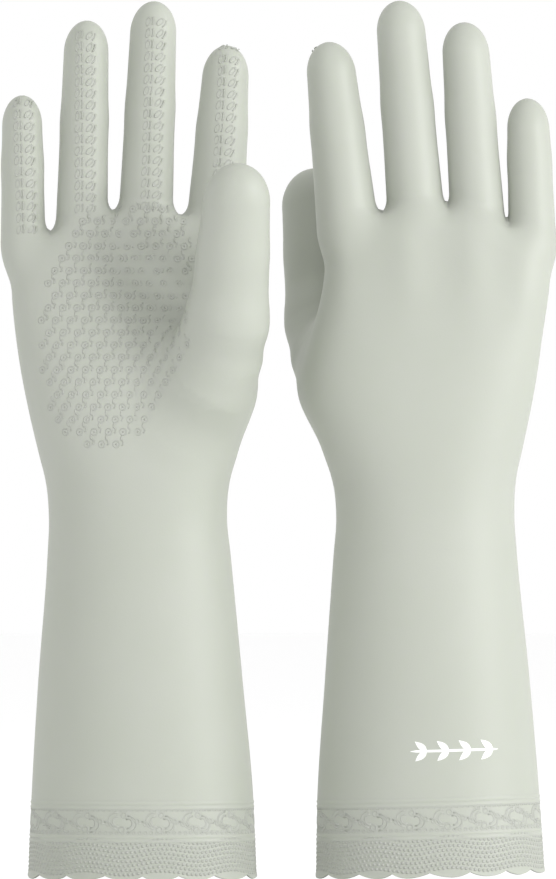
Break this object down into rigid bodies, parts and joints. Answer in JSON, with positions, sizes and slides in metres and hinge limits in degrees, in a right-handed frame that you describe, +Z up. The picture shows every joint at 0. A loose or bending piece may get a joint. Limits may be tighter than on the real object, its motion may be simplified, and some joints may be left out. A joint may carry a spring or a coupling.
{
  "type": "rubber gloves",
  "caption": "Household rubber gloves shown filled and upright, with long flared sleeves, scalloped lace hems and stalls that bend at wrist, finger roots and knuckles.",
  "frame": {"origin": "centre of the pair's bounding box at the height of the hems", "axes": "+X from the palm-side glove to the back-side glove, +Y away from the viewer, +Z up towards the fingertips"},
  "size_m": [0.2028, 0.1053, 0.321],
  "materials": {
    "sage_pvc": "satin",
    "print_white": "matte"
  },
  "bodies": {
    "palm_glove_sleeve": {"palm_glove_hem_band": "sage_pvc", "palm_glove_sleeve": "sage_pvc", "palm_glove_wrist_fold": "sage_pvc"},
    "palm_glove_hand": {"palm_glove_hand": "sage_pvc", "palm_glove_index_root_fold": "sage_pvc", "palm_glove_middle_root_fold": "sage_pvc", "palm_glove_ring_root_fold": "sage_pvc", "palm_glove_little_root_fold": "sage_pvc", "palm_glove_thumb_root_fold": "sage_pvc"},
    "palm_glove_index_lower": {"palm_glove_index_lower_stall": "sage_pvc", "palm_glove_index_knuckle_fold": "sage_pvc"},
    "palm_glove_index_tip": {"palm_glove_index_fingertip": "sage_pvc"},
    "palm_glove_middle_lower": {"palm_glove_middle_lower_stall": "sage_pvc", "palm_glove_middle_knuckle_fold": "sage_pvc"},
    "palm_glove_middle_tip": {"palm_glove_middle_fingertip": "sage_pvc"},
    "palm_glove_ring_lower": {"palm_glove_ring_lower_stall": "sage_pvc", "palm_glove_ring_knuckle_fold": "sage_pvc"},
    "palm_glove_ring_tip": {"palm_glove_ring_fingertip": "sage_pvc"},
    "palm_glove_little_lower": {"palm_glove_little_lower_stall": "sage_pvc", "palm_glove_little_knuckle_fold": "sage_pvc"},
    "palm_glove_little_tip": {"palm_glove_little_fingertip": "sage_pvc"},
    "palm_glove_thumb_lower": {"palm_glove_thumb_lower_stall": "sage_pvc", "palm_glove_thumb_knuckle_fold": "sage_pvc"},
    "palm_glove_thumb_tip": {"palm_glove_thumb_fingertip": "sage_pvc"},
    "back_glove_sleeve": {"back_glove_hem_band": "sage_pvc", "back_glove_sleeve": "sage_pvc", "back_glove_wrist_fold": "sage_pvc", "back_glove_printed_sprig": "print_white"},
    "back_glove_hand": {"back_glove_hand": "sage_pvc", "back_glove_index_root_fold": "sage_pvc", "back_glove_middle_root_fold": "sage_pvc", "back_glove_ring_root_fold": "sage_pvc", "back_glove_little_root_fold": "sage_pvc", "back_glove_thumb_root_fold": "sage_pvc"},
    "back_glove_index_lower": {"back_glove_index_lower_stall": "sage_pvc", "back_glove_index_knuckle_fold": "sage_pvc"},
    "back_glove_index_tip": {"back_glove_index_fingertip": "sage_pvc"},
    "back_glove_middle_lower": {"back_glove_middle_lower_stall": "sage_pvc", "back_glove_middle_knuckle_fold": "sage_pvc"},
    "back_glove_middle_tip": {"back_glove_middle_fingertip": "sage_pvc"},
    "back_glove_ring_lower": {"back_glove_ring_lower_stall": "sage_pvc", "back_glove_ring_knuckle_fold": "sage_pvc"},
    "back_glove_ring_tip": {"back_glove_ring_fingertip": "sage_pvc"},
    "back_glove_little_lower": {"back_glove_little_lower_stall": "sage_pvc", "back_glove_little_knuckle_fold": "sage_pvc"},
    "back_glove_little_tip": {"back_glove_little_fingertip": "sage_pvc"},
    "back_glove_thumb_lower": {"back_glove_thumb_lower_stall": "sage_pvc", "back_glove_thumb_knuckle_fold": "sage_pvc"},
    "back_glove_thumb_tip": {"back_glove_thumb_fingertip": "sage_pvc"}
  },
  "joints": [
    {"name": "palm_glove_wrist", "type": "hinge", "parent": "palm_glove_sleeve", "child": "palm_glove_hand", "pos_m": [-0.05125, 0, 0.131], "axis": [1, 0, 0], "range_deg": [-35, 40], "stiffness_Nm_per_rad": 0.1, "deforming": ["palm_glove_wrist_fold"]},
    {"name": "palm_glove_index_root", "type": "hinge", "parent": "palm_glove_hand", "child": "palm_glove_index_lower", "pos_m": [-0.02133, -0.00037, 0.24599], "axis": [0.9986, 0, -0.0523], "range_deg": [-10, 45], "stiffness_Nm_per_rad": 0.03, "deforming": ["palm_glove_index_root_fold"]},
    {"name": "palm_glove_index_knuckle", "type": "hinge", "parent": "palm_glove_index_lower", "child": "palm_glove_index_tip", "pos_m": [-0.01984, -0.00186, 0.27441], "axis": [0.9986, 0, -0.0523], "range_deg": [0, 60], "stiffness_Nm_per_rad": 0.02, "deforming": ["palm_glove_index_knuckle_fold"]},
    {"name": "palm_glove_middle_root", "type": "hinge", "parent": "palm_glove_hand", "child": "palm_glove_middle_lower", "pos_m": [-0.0468, -0.00037, 0.24923], "axis": [0.9996, 0, -0.0279], "range_deg": [-10, 45], "stiffness_Nm_per_rad": 0.03, "deforming": ["palm_glove_middle_root_fold"]},
    {"name": "palm_glove_middle_knuckle", "type": "hinge", "parent": "palm_glove_middle_lower", "child": "palm_glove_middle_tip", "pos_m": [-0.0459, -0.00207, 0.28167], "axis": [0.9996, 0, -0.0279], "range_deg": [0, 60], "stiffness_Nm_per_rad": 0.02, "deforming": ["palm_glove_middle_knuckle_fold"]},
    {"name": "palm_glove_ring_root", "type": "hinge", "parent": "palm_glove_hand", "child": "palm_glove_ring_lower", "pos_m": [-0.0709, -0.00037, 0.24576], "axis": [1, 0, 0], "range_deg": [-10, 45], "stiffness_Nm_per_rad": 0.03, "deforming": ["palm_glove_ring_root_fold"]},
    {"name": "palm_glove_ring_knuckle", "type": "hinge", "parent": "palm_glove_ring_lower", "child": "palm_glove_ring_tip", "pos_m": [-0.0709, -0.00201, 0.27722], "axis": [1, 0, 0], "range_deg": [0, 60], "stiffness_Nm_per_rad": 0.02, "deforming": ["palm_glove_ring_knuckle_fold"]},
    {"name": "palm_glove_little_root", "type": "hinge", "parent": "palm_glove_hand", "child": "palm_glove_little_lower", "pos_m": [-0.09237, -0.00031, 0.2394], "axis": [0.9996, 0, 0.0279], "range_deg": [-10, 45], "stiffness_Nm_per_rad": 0.02, "deforming": ["palm_glove_little_root_fold"]},
    {"name": "palm_glove_little_knuckle", "type": "hinge", "parent": "palm_glove_little_lower", "child": "palm_glove_little_tip", "pos_m": [-0.09296, -0.00143, 0.26061], "axis": [0.9996, 0, 0.0279], "range_deg": [0, 60], "stiffness_Nm_per_rad": 0.015, "deforming": ["palm_glove_little_knuckle_fold"]},
    {"name": "palm_glove_thumb_root", "type": "hinge", "parent": "palm_glove_hand", "child": "palm_glove_thumb_lower", "pos_m": [-0.01778, -0.02995, 0.20872], "axis": [-0.0214, -0.9563, -0.2916], "range_deg": [-10, 30], "stiffness_Nm_per_rad": 0.04, "deforming": ["palm_glove_thumb_root_fold"]},
    {"name": "palm_glove_thumb_knuckle", "type": "hinge", "parent": "palm_glove_thumb_lower", "child": "palm_glove_thumb_tip", "pos_m": [-0.01631, -0.03609, 0.22875], "axis": [-0.0214, -0.9563, -0.2916], "range_deg": [0, 45], "stiffness_Nm_per_rad": 0.03, "deforming": ["palm_glove_thumb_knuckle_fold"]},
    {"name": "back_glove_wrist", "type": "hinge", "parent": "back_glove_sleeve", "child": "back_glove_hand", "pos_m": [0.05392, 0, 0.13209], "axis": [-0.9997, 0, -0.0262], "range_deg": [-35, 40], "stiffness_Nm_per_rad": 0.1, "deforming": ["back_glove_wrist_fold"]},
    {"name": "back_glove_index_root", "type": "hinge", "parent": "back_glove_hand", "child": "back_glove_index_lower", "pos_m": [0.021, 0.00037, 0.24626], "axis": [-0.9969, 0, -0.0785], "range_deg": [-10, 45], "stiffness_Nm_per_rad": 0.03, "deforming": ["back_glove_index_root_fold"]},
    {"name": "back_glove_index_knuckle", "type": "hinge", "parent": "back_glove_index_lower", "child": "back_glove_index_tip", "pos_m": [0.01877, 0.00186, 0.27463], "axis": [-0.9969, 0, -0.0785], "range_deg": [0, 60], "stiffness_Nm_per_rad": 0.02, "deforming": ["back_glove_index_knuckle_fold"]},
    {"name": "back_glove_middle_root", "type": "hinge", "parent": "back_glove_hand", "child": "back_glove_middle_lower", "pos_m": [0.04638, 0.00037, 0.25017], "axis": [-0.9985, 0, -0.0541], "range_deg": [-10, 45], "stiffness_Nm_per_rad": 0.03, "deforming": ["back_glove_middle_root_fold"]},
    {"name": "back_glove_middle_knuckle", "type": "hinge", "parent": "back_glove_middle_lower", "child": "back_glove_middle_tip", "pos_m": [0.04463, 0.00207, 0.28257], "axis": [-0.9985, 0, -0.0541], "range_deg": [0, 60], "stiffness_Nm_per_rad": 0.02, "deforming": ["back_glove_middle_knuckle_fold"]},
    {"name": "back_glove_ring_root", "type": "hinge", "parent": "back_glove_hand", "child": "back_glove_ring_lower", "pos_m": [0.07056, 0.00037, 0.24733], "axis": [-0.9997, 0, -0.0262], "range_deg": [-10, 45], "stiffness_Nm_per_rad": 0.03, "deforming": ["back_glove_ring_root_fold"]},
    {"name": "back_glove_ring_knuckle", "type": "hinge", "parent": "back_glove_ring_lower", "child": "back_glove_ring_tip", "pos_m": [0.06974, 0.00201, 0.27877], "axis": [-0.9997, 0, -0.0262], "range_deg": [0, 60], "stiffness_Nm_per_rad": 0.02, "deforming": ["back_glove_ring_knuckle_fold"]},
    {"name": "back_glove_little_root", "type": "hinge", "parent": "back_glove_hand", "child": "back_glove_little_lower", "pos_m": [0.09219, 0.00031, 0.24153], "axis": [-1, 0, 0.0017], "range_deg": [-10, 45], "stiffness_Nm_per_rad": 0.02, "deforming": ["back_glove_little_root_fold"]},
    {"name": "back_glove_little_knuckle", "type": "hinge", "parent": "back_glove_little_lower", "child": "back_glove_little_tip", "pos_m": [0.09222, 0.00143, 0.26275], "axis": [-1, 0, 0.0017], "range_deg": [0, 60], "stiffness_Nm_per_rad": 0.015, "deforming": ["back_glove_little_knuckle_fold"]},
    {"name": "back_glove_thumb_root", "type": "hinge", "parent": "back_glove_hand", "child": "back_glove_thumb_lower", "pos_m": [0.01843, 0.02995, 0.20891], "axis": [0.029, 0.9563, -0.2909], "range_deg": [-10, 30], "stiffness_Nm_per_rad": 0.04, "deforming": ["back_glove_thumb_root_fold"]},
    {"name": "back_glove_thumb_knuckle", "type": "hinge", "parent": "back_glove_thumb_lower", "child": "back_glove_thumb_tip", "pos_m": [0.01643, 0.03609, 0.22889], "axis": [0.029, 0.9563, -0.2909], "range_deg": [0, 45], "stiffness_Nm_per_rad": 0.03, "deforming": ["back_glove_thumb_knuckle_fold"]},
    {"name": "gloves_apart", "type": "slide", "parent": "palm_glove_sleeve", "child": "back_glove_sleeve", "axis": [1, 0, 0], "range_m": [0, 0.12]}
  ]
}
